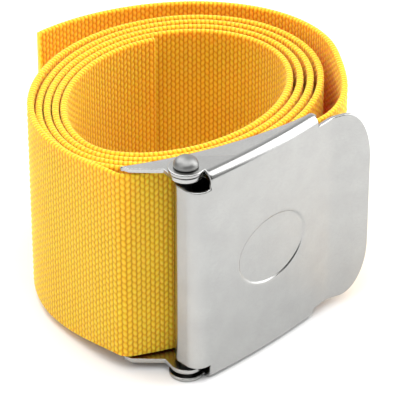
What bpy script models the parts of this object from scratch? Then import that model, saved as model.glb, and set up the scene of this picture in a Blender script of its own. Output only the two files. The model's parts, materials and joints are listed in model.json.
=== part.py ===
# Dive weight belt: a rolled webbing strap threaded through a stainless lever buckle.
# Sizes are in millimetres and are turned into metres when the meshes are made.
# The buckle frame has the hinge axis at x = y = 0, the lever running along +X and its face towards -Y.

import math

import bmesh
import bpy
import numpy as np

MM = 0.001

# Webbing strap
STRAP_WIDTH = 50.0
STRAP_THICKNESS = 1.4
STRAP_STEP = 3.0  # most spacing of the sections along the strap
STRAP_TURN = 7.0  # and most turn between them, in degrees

# Wound roll: every turn repeats one outline, a pitch further out
ROLL_RADIUS = 27.2  # mean radius of the centreline at the inner end
TURN_GAP = 0.84  # room between one turn and the next
ROLL_DRIFT = 0.36  # each turn's centre is this much further along the lever
ROLL_OVAL = 3.6  # how much the roll is longer than wide, as a second harmonic
ROLL_OVAL_ANGLE = 12.0
ROLL_EGG = 0.5  # third harmonic: one end of the oval is blunter
ROLL_EGG_ANGLE = -38.0
ROLL_START_ANGLE = 69.0  # direction of the inner end
ROLL_FULL_TURNS = 4
ROLL_SIDE = 1.7  # the inner turn's near side past the hinge axis, along the lever
ROLL_STANDOFF = 2.0  # least gap between the roll and the back of the base plate
LEAD_ANGLE = 174.0  # where the last turn leaves the roll for the buckle
LEAD_HANDLE = 8.0
CORNER_RADIUS = 3.5  # the strap's fold round the end of the base plate
CORNER_TURN = 57.0
CORNER_GAP = 0.6  # end of the plate to the start of the fold
TAIL_START_ANGLE = -34.0  # where the strap past the buckle takes up the roll's outline again
TAIL_END_ANGLE = 95.5
TAIL_STANDOFF = 1.6  # extra room between the tail and the roll
TAIL_LOOSE_ANGLE = -10.0  # from here the tail springs away from the roll
TAIL_SPREAD = 4.7  # and is this much further out a quarter turn on
TAIL_HANDLE = 13.0
LIFT_START_ANGLE = 60.0  # the strap leaves the floor here, on its way to the buckle
LEAD_LIFT = 0.5  # share of its rise where it leaves the roll
LIFT_END_ANGLE = 75.0  # and is back on it here
LEAST_STRAP_GAP = 0.4
NEAR_RUN = 24.0  # closer along the strap than this is the same stretch, not another turn

# Clearances
STRAP_GAP = 0.3  # strap to plate and strap to cam
EDGE_GAP = 0.5  # strap edge to flange
UPPER_GAP = 0.3  # upper lever ear to upper flange
LOWER_GAP = 1.0  # lower lever ear to lower flange
PIN_GAP = 0.15  # pin in its holes, on the radius
CAM_GAP = 0.2  # pin to the curl round it
HEAD_GAP = 0.2  # rivet head to lever ear

# Base plate: a bowed channel with an ear on each flange
BASE_SHEET = 1.1
BASE_BOW = 108.0  # radius of the back face
BASE_BEND_INSIDE = 0.5  # inside radius of the flange bends
BASE_TILT = 20.7  # slope of the plate at the hinge
BASE_LEFT = 12.8  # flange length on the outer side of the hinge
PLATE_LEFT = 10.4  # plate length there, a little shorter
BASE_RIGHT = 37.2  # plate length under the lever
FLANGE_CHAMFER = 1.45  # length of the slope that makes the left end a point
FLANGE_SHOULDER = 2.5  # flange height after the slope
FLANGE_ROOT = 5.3  # flange height where it meets the ear
FLANGE_END = 2.5  # flange height at the right end
FLANGE_LINE = 3.1  # the flange edge points this far in front of the hinge axis
EAR_RADIUS = 3.8
EAR_STEP = 0.7  # from an ear's side to the next section of its sheet
EAR_INSET = 0.0004  # an ear's outermost section lies this far inside its circle

# Lever: a bowed cover with bent side lips, hinge ears, a curled cam and a finger tab
LEVER_SHEET = 1.0
LEVER_BOW = 200.0
LEVER_BEND_INSIDE = 1.4
LEVER_CROWN = 10.4  # x of the highest point of the bow
FACE_OFFSET = 6.5  # hinge axis to the outer face at the crown
FACE_START = 1.9  # the relief notch ends here
FACE_END = 37.6  # the side lips end here
LIP_DEPTH = 2.8
LEVER_EAR_RADIUS = 4.2
EAR_RUNOUT = 11.5  # the ear tapers into the lip here
NOTCH = 4.7  # lever edge to the end of the cam
CURL_RADIUS = 3.7
CAM_REACH = 4.7  # radius of the grip end
CAM_RISE_ANGLE = 125.0  # the curl grows to the grip end from here
RIDGE_DEPTH = 0.25
RIDGES = 7
LEAF_ANGLE = -48.0  # past the grip end the sheet comes back to the face in this direction from the pin
LEAF_GAP = 0.35  # and stops this far short of it
TAB_STEP = 2.8  # the tab is this much lower than the lever at each edge
TAB_FLAT = 2.7  # straight run before the flare
TAB_FLARE_RADIUS = 12.0
TAB_FLARE_ANGLE = -16.0
TAB_LENGTH = 8.2  # straight run after the flare
TAB_END_HEIGHT = 23.0
TAB_CORNER = 7.6  # length of the rounded corners, along the tab
OVAL_MIDDLE = 21.8  # x of the middle of the oval recess
OVAL_LENGTH = 22.0
OVAL_HEIGHT = 17.0
OVAL_DEPTH = 0.3

# Hinge pin
PIN_RADIUS = 1.4
HEAD_LIP = 1.5  # how much wider than the pin its head is, on the radius
HEAD_HEIGHT = 2.4
HEAD_RIM = 0.3  # upright rim below the dome
FLARE_LIP = 0.6  # the same for the peened lower end
FLARE_HEIGHT = 1.0
PIN_LIFT = 0.15  # lower end above the floor
PIN_SIDES = 40
CUT_PAST = 2.0  # cutters run this far past what they cut

# Worked-out sizes; the buckle stands on the lever's lower edge
ROLL_PITCH = STRAP_THICKNESS + TURN_GAP
ROLL_SHIFT = ROLL_RADIUS + ROLL_SIDE
BASE_BEND = BASE_SHEET + BASE_BEND_INSIDE
LEVER_BEND = LEVER_SHEET + LEVER_BEND_INSIDE
CAM_WALL = PIN_RADIUS + CAM_GAP + LEVER_SHEET
LEAF_REACH = (FACE_OFFSET - LEVER_SHEET - LEAF_GAP) / math.sin(-math.radians(LEAF_ANGLE))
HEAD_RADIUS = PIN_RADIUS + HEAD_LIP
FLARE_RADIUS = PIN_RADIUS + FLARE_LIP
BASE_INNER = STRAP_WIDTH + 2 * EDGE_GAP
BASE_WIDTH = BASE_INNER + 2 * BASE_SHEET
BASE_BOTTOM = LEVER_SHEET + LOWER_GAP
BASE_MIDDLE = BASE_BOTTOM + BASE_WIDTH / 2
LEVER_WIDTH = BASE_WIDTH + UPPER_GAP + LOWER_GAP + 2 * LEVER_SHEET
LEVER_MIDDLE = LEVER_WIDTH / 2
STRAP_LIFT = BASE_MIDDLE - STRAP_WIDTH / 2
PIN_OFFSET = BASE_SHEET + 2 * STRAP_GAP + STRAP_THICKNESS + CAM_REACH
TILT = math.radians(BASE_TILT)
BOW_CENTRE = (BASE_BOW + PIN_OFFSET) * np.array([math.sin(TILT), math.cos(TILT)])
STRAP_BOW = BASE_BOW + BASE_SHEET + STRAP_GAP + STRAP_THICKNESS / 2
FACE_CENTRE = np.array([LEVER_CROWN, LEVER_BOW - FACE_OFFSET])


def make_material(name, colour, metallic, roughness):
    material = bpy.data.materials.new(name)
    material.use_nodes = True
    shader = material.node_tree.nodes["Principled BSDF"]
    shader.inputs["Base Color"].default_value = (*colour, 1.0)
    shader.inputs["Metallic"].default_value = metallic
    shader.inputs["Roughness"].default_value = roughness
    return material


def add_object(name, mesh, material, parent):
    mesh.materials.append(material)
    mesh.shade_smooth()
    mesh.set_sharp_from_angle(angle=math.radians(35))
    item = bpy.data.objects.new(name, mesh)
    item.parent = parent
    bpy.context.collection.objects.link(item)
    return item


def mesh_of(name, points, faces):
    mesh = bpy.data.meshes.new(name)
    mesh.from_pydata([tuple(MM * value for value in point) for point in points], [], faces)
    mesh.update()
    return mesh


# A sheet-metal solid from a grid of points on its outer and its inner skin.
# present says which cells of the grid hold metal; every free cell edge gets a wall.
def sheet_mesh(name, outer, inner, present):
    rows, columns = present.shape
    number = {}
    points = []
    faces = []

    def corner(skin, i, j):
        key = (skin, i, j)
        if key not in number:
            number[key] = len(points)
            points.append((outer, inner)[skin][i][j])
        return number[key]

    def has(i, j):
        return 0 <= i < rows and 0 <= j < columns and present[i, j]

    for i in range(rows):
        for j in range(columns):
            if not present[i, j]:
                continue
            ring = [(i, j), (i + 1, j), (i + 1, j + 1), (i, j + 1)]
            faces.append([corner(0, *at) for at in ring])
            faces.append([corner(1, *at) for at in reversed(ring)])
            beside = [(i, j - 1), (i + 1, j), (i, j + 1), (i - 1, j)]
            for side, near in enumerate(beside):
                if not has(*near):
                    a, b = ring[side], ring[(side + 1) % 4]
                    faces.append([corner(0, *b), corner(0, *a), corner(1, *a), corner(1, *b)])
    mesh = mesh_of(name, points, faces)
    work = bmesh.new()
    work.from_mesh(mesh)
    bmesh.ops.recalc_face_normals(work, faces=work.faces)
    work.to_mesh(mesh)
    work.free()
    return mesh


# A turned solid about the hinge axis from (radius, z) pairs, which start and end on the axis.
def turned_mesh(name, profile):
    points = [(0.0, 0.0, profile[0][1])]
    for radius, z in profile[1:-1]:
        for k in range(PIN_SIDES):
            turn = 2 * math.pi * k / PIN_SIDES
            points.append((radius * math.cos(turn), radius * math.sin(turn), z))
    points.append((0.0, 0.0, profile[-1][1]))
    last = len(points) - 1
    rings = len(profile) - 2
    faces = []
    for k in range(PIN_SIDES):
        after = (k + 1) % PIN_SIDES
        faces.append((0, 1 + after, 1 + k))
        for ring in range(rings - 1):
            low, high = 1 + ring * PIN_SIDES, 1 + (ring + 1) * PIN_SIDES
            faces.append((low + k, low + after, high + after, high + k))
        top = 1 + (rings - 1) * PIN_SIDES
        faces.append((top + k, top + after, last))
    return mesh_of(name, points, faces)


def cut(item, cutter_mesh, name):
    cutter = bpy.data.objects.new(name, cutter_mesh)
    cutter.hide_render = True
    cutter.display_type = "WIRE"
    cutter.parent = item.parent
    bpy.context.collection.objects.link(cutter)
    hole = item.modifiers.new(name, "BOOLEAN")
    hole.operation = "DIFFERENCE"
    hole.solver = "EXACT"
    hole.object = cutter


def smooth(share):
    share = min(max(share, 0.0), 1.0)
    return share * share * (3 - 2 * share)


# Strap


def outline(angle, centre, tail=False):
    a = math.radians(angle)
    oval = 2 * (a - math.radians(ROLL_OVAL_ANGLE))
    egg = 3 * (a - math.radians(ROLL_EGG_ANGLE))
    turns = (angle - ROLL_START_ANGLE) / 360
    drift = ROLL_DRIFT * turns
    reach = ROLL_RADIUS + ROLL_PITCH * turns + drift * math.cos(a)
    reach += ROLL_OVAL * math.cos(oval) + ROLL_EGG * math.cos(egg)
    slope = (ROLL_PITCH + ROLL_DRIFT * math.cos(a)) / (2 * math.pi) - drift * math.sin(a)
    slope -= 2 * ROLL_OVAL * math.sin(oval) + 3 * ROLL_EGG * math.sin(egg)
    if tail:
        quarters = max((angle - 360 * (ROLL_FULL_TURNS + 1) - TAIL_LOOSE_ANGLE) / 90, 0.0)
        reach += TAIL_STANDOFF + TAIL_SPREAD * quarters**2
        slope += 2 * TAIL_SPREAD * quarters / (math.pi / 2)
    out = np.array([math.cos(a), math.sin(a)])
    along = np.array([-math.sin(a), math.cos(a)])
    return centre + reach * out + slope * along, along


def curve_between(start, start_along, end, end_along, start_handle, end_handle, count=60):
    first = start + start_handle * start_along
    second = end - end_handle * end_along
    points = []
    for t in np.linspace(0, 1, count):
        s = 1 - t
        points.append(s**3 * start + 3 * s * s * t * first + 3 * s * t * t * second + t**3 * end)
    return points


# A point of a curve that follows the base plate, at an arc distance from the hinge along its back face.
def on_bow(radius, along):
    turn = TILT - along / BASE_BOW
    return BOW_CENTRE - radius * np.array([math.sin(turn), math.cos(turn)])


# The roll lies behind the base plate: its last full turn clears the plate's back by the standoff.
def roll_centre():
    turn = [360 * (ROLL_FULL_TURNS - 1) + angle for angle in range(180, 361, 2)]
    low, high = -100.0, 200.0
    for _ in range(60):
        y = (low + high) / 2
        centre = np.array([ROLL_SHIFT, y])
        reach = max(np.linalg.norm(outline(angle, centre)[0] - BOW_CENTRE) for angle in turn)
        if reach + STRAP_THICKNESS / 2 + ROLL_STANDOFF > BASE_BOW:
            low = y
        else:
            high = y
    return np.array([ROLL_SHIFT, high])


# The fold round the end of the plate, from the roll to the buckle: its points and its first direction.
def plate_fold():
    start = on_bow(STRAP_BOW, -PLATE_LEFT - CORNER_GAP)
    inward = on_bow(STRAP_BOW, -PLATE_LEFT) - start
    heading = math.atan2(inward[1], inward[0])
    middle = start + CORNER_RADIUS * np.array([-math.sin(heading), math.cos(heading)])
    points = []
    for turn in np.radians(np.arange(CORNER_TURN, -0.5, -1.0)):
        a = heading - turn
        points.append(middle + CORNER_RADIUS * np.array([math.sin(a), -math.cos(a)]))
    first = heading - math.radians(CORNER_TURN)
    return points, np.array([math.cos(first), math.sin(first)])


# The strap's centreline from the inner end to the tail, as (x, y, height of the lower edge).
def strap_line():
    centre = roll_centre()
    leave = 360 * ROLL_FULL_TURNS + LEAD_ANGLE
    join = 360 * (ROLL_FULL_TURNS + 1) + TAIL_START_ANGLE
    end = 360 * (ROLL_FULL_TURNS + 1) + TAIL_END_ANGLE
    lifted = 360 * ROLL_FULL_TURNS + LIFT_START_ANGLE
    settled = 360 * (ROLL_FULL_TURNS + 1) + LIFT_END_ANGLE

    angles = np.arange(ROLL_START_ANGLE, leave, 1.0)
    plan = [outline(angle, centre)[0] for angle in angles]
    raised = [LEAD_LIFT * smooth((angle - lifted) / (leave - lifted)) for angle in angles]

    spot, along = outline(leave, centre)
    fold, inward = plate_fold()
    lead = curve_between(spot, along, fold[0], inward, LEAD_HANDLE, LEAD_HANDLE)
    plan += lead + fold[1:]
    raised += [LEAD_LIFT + (1 - LEAD_LIFT) * smooth(k / (len(lead) - 1)) for k in range(len(lead))]

    passing = np.arange(-PLATE_LEFT, BASE_RIGHT, 1.0)
    plan += [on_bow(STRAP_BOW, distance) for distance in passing]
    raised += [1.0] * (len(fold) - 1 + len(passing))

    right = on_bow(STRAP_BOW, BASE_RIGHT)
    onward = right - on_bow(STRAP_BOW, BASE_RIGHT - 1)
    spot, along = outline(join, centre, True)
    away = curve_between(right, onward / np.linalg.norm(onward), spot, along, TAIL_HANDLE, TAIL_HANDLE)
    tail = np.arange(join + 1, end, 1.0)
    plan += away + [outline(angle, centre, True)[0] for angle in tail]
    raised += [1 - smooth(k / (len(away) - 1)) / 4 for k in range(len(away))]
    raised += [0.75 * (1 - smooth((angle - join) / (settled - join))) for angle in tail]
    return np.column_stack([np.array(plan), STRAP_LIFT * np.array(raised)])


# The fewest points of the line that keep to the greatest step and turn.
def thinned(line):
    steps = np.diff(line[:, :2], axis=0)
    lengths = np.linalg.norm(steps, axis=1)
    headings = np.unwrap(np.arctan2(steps[:, 1], steps[:, 0]))
    most = math.radians(STRAP_TURN)
    kept = [0]
    for k in range(1, len(line) - 1):
        run = lengths[kept[-1]:k + 1].sum()
        turn = abs(headings[k] - headings[kept[-1]])
        if run > STRAP_STEP or turn > most:
            kept.append(k)
    return line[kept + [len(line) - 1]]


# Least gap between turns: each point against the straight pieces that are not its near neighbours.
def least_gap(line):
    plan = line[:, :2]
    a, b = plan[:-1], plan[1:]
    run = b - a
    along = np.concatenate([[0], np.cumsum(np.linalg.norm(run, axis=1))])
    least = math.inf
    for k, point in enumerate(plan):
        far = np.abs(along[:-1] - along[k]) > NEAR_RUN
        t = np.clip(((point - a) * run).sum(1) / (run * run).sum(1), 0, 1)
        away = np.linalg.norm(point - a - t[:, None] * run, axis=1)
        least = min(least, away[far].min())
    return least - STRAP_THICKNESS, along[-1]


def strap_mesh():
    line = thinned(strap_line())
    gap, length = least_gap(line)
    print(f"strap length {length:.0f} mm, least gap to itself {gap:.2f} mm")
    assert gap > LEAST_STRAP_GAP
    along = np.gradient(line[:, :2], axis=0)
    along /= np.linalg.norm(along, axis=1)[:, None]
    aside = np.column_stack([along[:, 1], -along[:, 0]]) * STRAP_THICKNESS / 2
    points = []
    for (x, y, low), (dx, dy) in zip(line, aside):
        high = low + STRAP_WIDTH
        points += [(x + dx, y + dy, low), (x + dx, y + dy, high)]
        points += [(x - dx, y - dy, high), (x - dx, y - dy, low)]
    faces = [(0, 1, 2, 3)]
    for k in range(len(line) - 1):
        for side in range(4):
            after = (side + 1) % 4
            faces.append((4 * k + side, 4 * k + 4 + side, 4 * k + 4 + after, 4 * k + after))
    end = 4 * (len(line) - 1)
    faces.append((end + 3, end + 2, end + 1, end))
    return mesh_of("strap", points, faces)


# Base plate


# Height of the flange's free edge above the plate's back, at an arc distance from the hinge.
def flange_height(along):
    turn = TILT - along / BASE_BOW
    ray = -np.array([math.sin(turn), math.cos(turn)])
    pin_reach = BASE_BOW + PIN_OFFSET
    offset = pin_reach * math.sin(along / BASE_BOW)
    ear = 0.0
    if abs(offset) < EAR_RADIUS:
        ear = pin_reach * math.cos(along / BASE_BOW) - BASE_BOW
        ear += math.sqrt(EAR_RADIUS**2 - offset**2)
    if along < 0:
        chamfer_end = -BASE_LEFT + FLANGE_CHAMFER
        low = np.interp(
            along,
            [chamfer_end, -EAR_RADIUS, 0],
            [FLANGE_SHOULDER, FLANGE_ROOT, FLANGE_ROOT],
        )
    else:
        top = np.array([0.0, -FLANGE_LINE])
        end = on_bow(BASE_BOW + FLANGE_END, BASE_RIGHT)
        across = np.array([top[1] - end[1], end[0] - top[0]])
        low = across @ (top - BOW_CENTRE) / (across @ ray) - BASE_BOW
    return max(ear, low)


def base_mesh():
    top = BASE_BOTTOM + BASE_WIDTH
    pin_reach = BASE_BOW + PIN_OFFSET
    arcs = np.radians(np.linspace(0, 90, 5))
    ear_steps = (EAR_RADIUS - EAR_INSET) * np.cos(np.radians(range(180, -1, -12)))
    stations = np.concatenate([
        [-BASE_LEFT + FLANGE_CHAMFER],
        np.linspace(-PLATE_LEFT, -EAR_RADIUS - EAR_STEP, 5),
        np.arcsin(ear_steps / pin_reach) * BASE_BOW,
        np.linspace(EAR_RADIUS + EAR_STEP, BASE_RIGHT, 18),
    ])
    flat = 4  # columns of each flange that run on past the plate, with half of its bend
    tip = BASE_BEND * (1 - math.sin(arcs[flat - 2]))
    outer, inner = [], []
    for k, along in enumerate(stations):
        edge = flange_height(along)
        middle = (edge + BASE_BEND) / 2
        half = [(edge, top, edge, top - BASE_SHEET), (middle, top, middle, top - BASE_SHEET)]
        for a in arcs:
            rise, fall = 1 - math.sin(a), 1 - math.cos(a)
            half.append((
                BASE_BEND * rise,
                top - BASE_BEND * fall,
                BASE_SHEET + BASE_BEND_INSIDE * rise,
                top - BASE_SHEET - BASE_BEND_INSIDE * fall,
            ))
        both = 2 * BASE_MIDDLE
        whole = half + [(w, both - z, v, both - y) for w, z, v, y in reversed(half)]
        slope = FLANGE_CHAMFER / (edge - tip) if k == 0 else 0.0
        spots = [along - slope * (edge - w) for w, _, _, _ in whole]
        outer.append([(*on_bow(BASE_BOW + w, spot), z) for spot, (w, z, _, _) in zip(spots, whole)])
        inner.append([(*on_bow(BASE_BOW + v, spot), y) for spot, (_, _, v, y) in zip(spots, whole)])
    present = np.ones((len(stations) - 1, len(outer[0]) - 1), bool)
    present[0, flat:-flat] = False  # the plate ends before the flange tips
    return sheet_mesh("base_plate", outer, inner, present)


# Lever


# A point at a depth behind the outer face, at a given x of that face.
def on_face(x, depth):
    turn = math.asin((x - LEVER_CROWN) / LEVER_BOW)
    return FACE_CENTRE + (LEVER_BOW - depth) * np.array([math.sin(turn), -math.cos(turn)])


# Depths at which the hinge ear starts and ends behind the face, or none outside it.
def ear_span(x):
    turn = math.asin((x - LEVER_CROWN) / LEVER_BOW) + math.atan2(FACE_CENTRE[0], FACE_CENTRE[1])
    reach = float(np.linalg.norm(FACE_CENTRE))
    offset = reach * math.sin(turn)
    if abs(offset) >= LEVER_EAR_RADIUS:
        return None
    half = math.sqrt(LEVER_EAR_RADIUS**2 - offset**2)
    return LEVER_BOW - reach * math.cos(turn) - half, LEVER_BOW - reach * math.cos(turn) + half


# The gusset that runs from the ear down to the lip, along the tangent of the ear.
def gusset_depth(x):
    rise = FACE_OFFSET - LIP_DEPTH
    far = EAR_RUNOUT
    a, b, c = far**2 - LEVER_EAR_RADIUS**2, -2 * far * rise, rise**2 - LEVER_EAR_RADIUS**2
    slope = (-b + math.sqrt(b * b - 4 * a * c)) / (2 * a)
    return LIP_DEPTH + slope * max(EAR_RUNOUT - x, 0.0)


# The curled end, from the sheet's edge behind the face over the grip end and round the pin to the face:
# outer and inner point for each station.
def curl_stations():
    pairs = []
    grip = 90 - BASE_TILT
    for angle in np.linspace(LEAF_ANGLE, grip, 9)[:-1]:
        share = (grip - angle) / (grip - LEAF_ANGLE)
        radius = CAM_REACH + (LEAF_REACH - CAM_REACH) * share**2
        a = math.radians(angle)
        out = np.array([math.cos(a), math.sin(a)])
        pairs.append((radius * out, (radius - LEVER_SHEET) * out))
    for k, angle in enumerate(np.linspace(grip, CAM_RISE_ANGLE, 2 * RIDGES + 1)):
        share = (CAM_RISE_ANGLE - angle) / (CAM_RISE_ANGLE - grip)
        radius = CAM_WALL + (CAM_REACH - CAM_WALL) * share
        a = math.radians(angle)
        out = np.array([math.cos(a), math.sin(a)])
        pairs.append(((radius - RIDGE_DEPTH * (k % 2)) * out, (radius - LEVER_SHEET) * out))
    for angle in np.linspace(CAM_RISE_ANGLE, 180, 6)[1:]:
        a = math.radians(angle)
        out = np.array([math.cos(a), math.sin(a)])
        pairs.append((CAM_WALL * out, (CAM_WALL - LEVER_SHEET) * out))
    across = CURL_RADIUS - CAM_WALL
    reach = LEVER_BOW - CURL_RADIUS
    centre = np.array([across, FACE_CENTRE[1] - math.sqrt(reach**2 - (across - FACE_CENTRE[0])**2)])
    end = math.degrees(math.atan2(*(centre - FACE_CENTRE)[::-1])) + 360
    for angle in np.linspace(180, end, 9):
        a = math.radians(angle)
        out = np.array([math.cos(a), math.sin(a)])
        pairs.append((centre + CURL_RADIUS * out, centre + (CURL_RADIUS - LEVER_SHEET) * out))
    return pairs


# The tab: outer and inner point and half height for each station past the lips.
def tab_stations():
    heading = math.asin((FACE_END - LEVER_CROWN) / LEVER_BOW)
    flare = math.radians(TAB_FLARE_ANGLE)
    spot = on_face(FACE_END, 0.0)
    full = LEVER_WIDTH / 2 - TAB_STEP
    steps = [(TAB_FLAT, heading, heading)]
    turning = 8
    for k in range(turning):
        a0 = heading + (flare - heading) * k / turning
        a1 = heading + (flare - heading) * (k + 1) / turning
        steps.append((TAB_FLARE_RADIUS * abs(a1 - a0), (a0 + a1) / 2, a1))
    rounded = [math.sin(a) for a in np.radians(np.linspace(0, 90, 13))]
    steps.append((TAB_LENGTH - TAB_CORNER, flare, flare))
    for r0, r1 in zip(rounded, rounded[1:]):
        steps.append((TAB_CORNER * (r1 - r0), flare, flare))
    pairs = []
    into_corner = 0.0
    for k, (length, go, end) in enumerate(steps):
        spot = spot + length * np.array([math.cos(go), math.sin(go)])
        if k > turning + 1:
            into_corner += length
        share = min(into_corner / TAB_CORNER, 1.0)
        half = TAB_END_HEIGHT / 2 + (full - TAB_END_HEIGHT / 2) * math.sqrt(1 - share**2)
        pairs.append((spot, spot + LEVER_SHEET * np.array([-math.sin(end), math.cos(end)]), half))
    return pairs


def lever_mesh():
    top = LEVER_WIDTH
    arcs = np.radians(np.linspace(0, 90, 5))
    flats = [LEVER_MIDDLE - TAB_STEP, LEVER_MIDDLE - NOTCH]  # half heights of the tab and of the cam
    curl = curl_stations()
    tab = tab_stations()
    ear_x = (LEVER_EAR_RADIUS - EAR_INSET) * np.cos(np.radians(range(180, -1, -12)))
    ear_x = ear_x[ear_x < FACE_START - EAR_STEP]
    face_x = np.concatenate([
        np.linspace(FACE_START, EAR_RUNOUT, 10),
        np.linspace(EAR_RUNOUT, FACE_END, 11)[1:],
    ])
    before = max(len(curl), len(ear_x))
    lip_columns = 2
    columns = 2 * (lip_columns + len(arcs) + len(flats)) - 1
    rows = before + len(face_x) + len(tab)
    outer = [[(0.0, 0.0, 0.0)] * (columns + 1) for _ in range(rows)]
    inner = [[(0.0, 0.0, 0.0)] * (columns + 1) for _ in range(rows)]
    present = np.zeros((rows - 1, columns), bool)

    def place(row, column, out_spot, out_z, in_spot, in_z):
        outer[row][column] = (*out_spot, out_z)
        inner[row][column] = (*in_spot, in_z)
        outer[row][columns - column] = (*out_spot, top - out_z)
        inner[row][columns - column] = (*in_spot, top - in_z)

    def mark(row, first, last):
        for column in range(first, last):
            present[row, column] = True
            present[row, columns - 1 - column] = True

    first_arc = lip_columns
    first_flat = lip_columns + len(arcs)
    for k, x in enumerate(ear_x):
        row = before - len(ear_x) + k
        for column, depth in zip((1, 0), ear_span(x)):
            place(row, column, on_face(x, depth), top, on_face(x, depth), top - LEVER_SHEET)
        mark(row, 0, 1)
    for k, (out, within) in enumerate(curl):
        row = before - len(curl) + k
        place(row, first_flat + 1, out, LEVER_MIDDLE + flats[1], within, LEVER_MIDDLE + flats[1])
        mark(row, first_flat + 1, columns - first_flat - 1)
    for k, x in enumerate(face_x):
        row = before + k
        span = ear_span(x)
        back = max(gusset_depth(x), span[1] if span else 0.0)
        split = ear_span(FACE_START)[0] if k == 0 else (back + LEVER_BEND) / 2
        for column, depth in ((0, back), (1, split)):
            place(row, column, on_face(x, depth), top, on_face(x, depth), top - LEVER_SHEET)
        for step, a in enumerate(arcs):
            rise, fall = 1 - math.sin(a), 1 - math.cos(a)
            place(
                row,
                first_arc + step,
                on_face(x, LEVER_BEND * rise),
                top - LEVER_BEND * fall,
                on_face(x, LEVER_SHEET + LEVER_BEND_INSIDE * rise),
                top - LEVER_SHEET - LEVER_BEND_INSIDE * fall,
            )
        for step, half in enumerate(flats):
            column = first_flat + step
            z = LEVER_MIDDLE + half
            place(row, column, on_face(x, 0.0), z, on_face(x, LEVER_SHEET), z)
        if k < len(face_x) - 1:
            mark(row, 0, columns)
    start = before + len(face_x)
    for k, (out, within, half) in enumerate(tab):
        row = start + k
        lower = half * flats[1] / flats[0]
        for column, height in ((first_flat, half), (first_flat + 1, lower)):
            place(row, column, out, LEVER_MIDDLE + height, within, LEVER_MIDDLE + height)
        mark(row - 1, first_flat, columns - first_flat)
    return sheet_mesh("lever", outer, inner, present)


# The cutter for the shallow oval in the lever's face, with a floor that follows the face.
def oval_recess(name):
    outer, inner = [], []
    for a in np.radians(np.linspace(177, 3, 30)):
        x = OVAL_MIDDLE + OVAL_LENGTH / 2 * math.cos(a)
        half = OVAL_HEIGHT / 2 * math.sin(a)
        heights = (LEVER_MIDDLE + half, LEVER_MIDDLE - half)
        outer.append([(*on_face(x, -CUT_PAST), z) for z in heights])
        inner.append([(*on_face(x, OVAL_DEPTH), z) for z in heights])
    return sheet_mesh(name, outer, inner, np.ones((len(outer) - 1, 1), bool))


# Hinge pin


def dome(height, radius, base):
    return [(radius * math.cos(a), base + height * math.sin(a)) for a in np.radians(range(0, 90, 10))]


def pin_mesh():
    seat = LEVER_WIDTH + HEAD_GAP
    profile = [
        (0.0, PIN_LIFT),
        (FLARE_RADIUS, PIN_LIFT),
        (PIN_RADIUS, PIN_LIFT + FLARE_HEIGHT),
        (PIN_RADIUS, seat),
        (HEAD_RADIUS, seat),
    ]
    profile += dome(HEAD_HEIGHT - HEAD_RIM, HEAD_RADIUS, seat + HEAD_RIM)
    profile.append((0.0, seat + HEAD_HEIGHT))
    return turned_mesh("hinge_pin", profile)


# A hole for the pin through every sheet, flared at the lower end where the pin is peened over.
def pin_hole(name, radius, flared):
    wide = FLARE_RADIUS + PIN_GAP if flared else radius
    slope = (wide - radius) / FLARE_HEIGHT
    end = LEVER_WIDTH + CUT_PAST
    profile = [(0.0, -CUT_PAST), (wide + slope * (CUT_PAST + PIN_LIFT), -CUT_PAST)]
    profile += [(radius, PIN_LIFT + FLARE_HEIGHT), (radius, end), (0.0, end)]
    return turned_mesh(name, profile)


def build():
    for item in list(bpy.data.objects):
        bpy.data.objects.remove(item)

    webbing = make_material("yellow webbing", (0.86, 0.45, 0.03), 0.0, 0.85)
    plate_steel = make_material("stainless base", (0.62, 0.62, 0.61), 1.0, 0.30)
    lever_steel = make_material("stainless lever", (0.66, 0.66, 0.65), 1.0, 0.34)
    pin_steel = make_material("stainless pin", (0.60, 0.60, 0.59), 1.0, 0.18)

    belt = bpy.data.objects.new("belt", None)
    bpy.context.collection.objects.link(belt)
    hinge = bpy.data.objects.new("lever_hinge", None)
    hinge.parent = belt
    bpy.context.collection.objects.link(hinge)

    add_object("strap", strap_mesh(), webbing, belt)
    plate = add_object("base_plate", base_mesh(), plate_steel, belt)
    cut(plate, pin_hole("plate_pin_hole", PIN_RADIUS + PIN_GAP, False), "plate_pin_hole")
    lever = add_object("lever", lever_mesh(), lever_steel, hinge)
    cut(lever, pin_hole("lever_pin_hole", PIN_RADIUS + PIN_GAP, True), "lever_pin_hole")
    cut(lever, oval_recess("lever_oval"), "lever_oval")
    add_object("hinge_pin", pin_mesh(), pin_steel, belt)

    # The origin is the middle of the belt's box, on the floor.
    corners = np.array([
        vertex.co[:2] for item in bpy.data.objects if item.type == "MESH" and not item.hide_render
        for vertex in item.data.vertices
    ])
    middle = (corners.min(axis=0) + corners.max(axis=0)) / 2
    belt.location = (-middle[0], -middle[1], 0.0)
    print(f"hinge axis at x {-middle[0] / MM:.2f}, y {-middle[1] / MM:.2f} mm")


build()
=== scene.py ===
import json
import math

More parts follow.
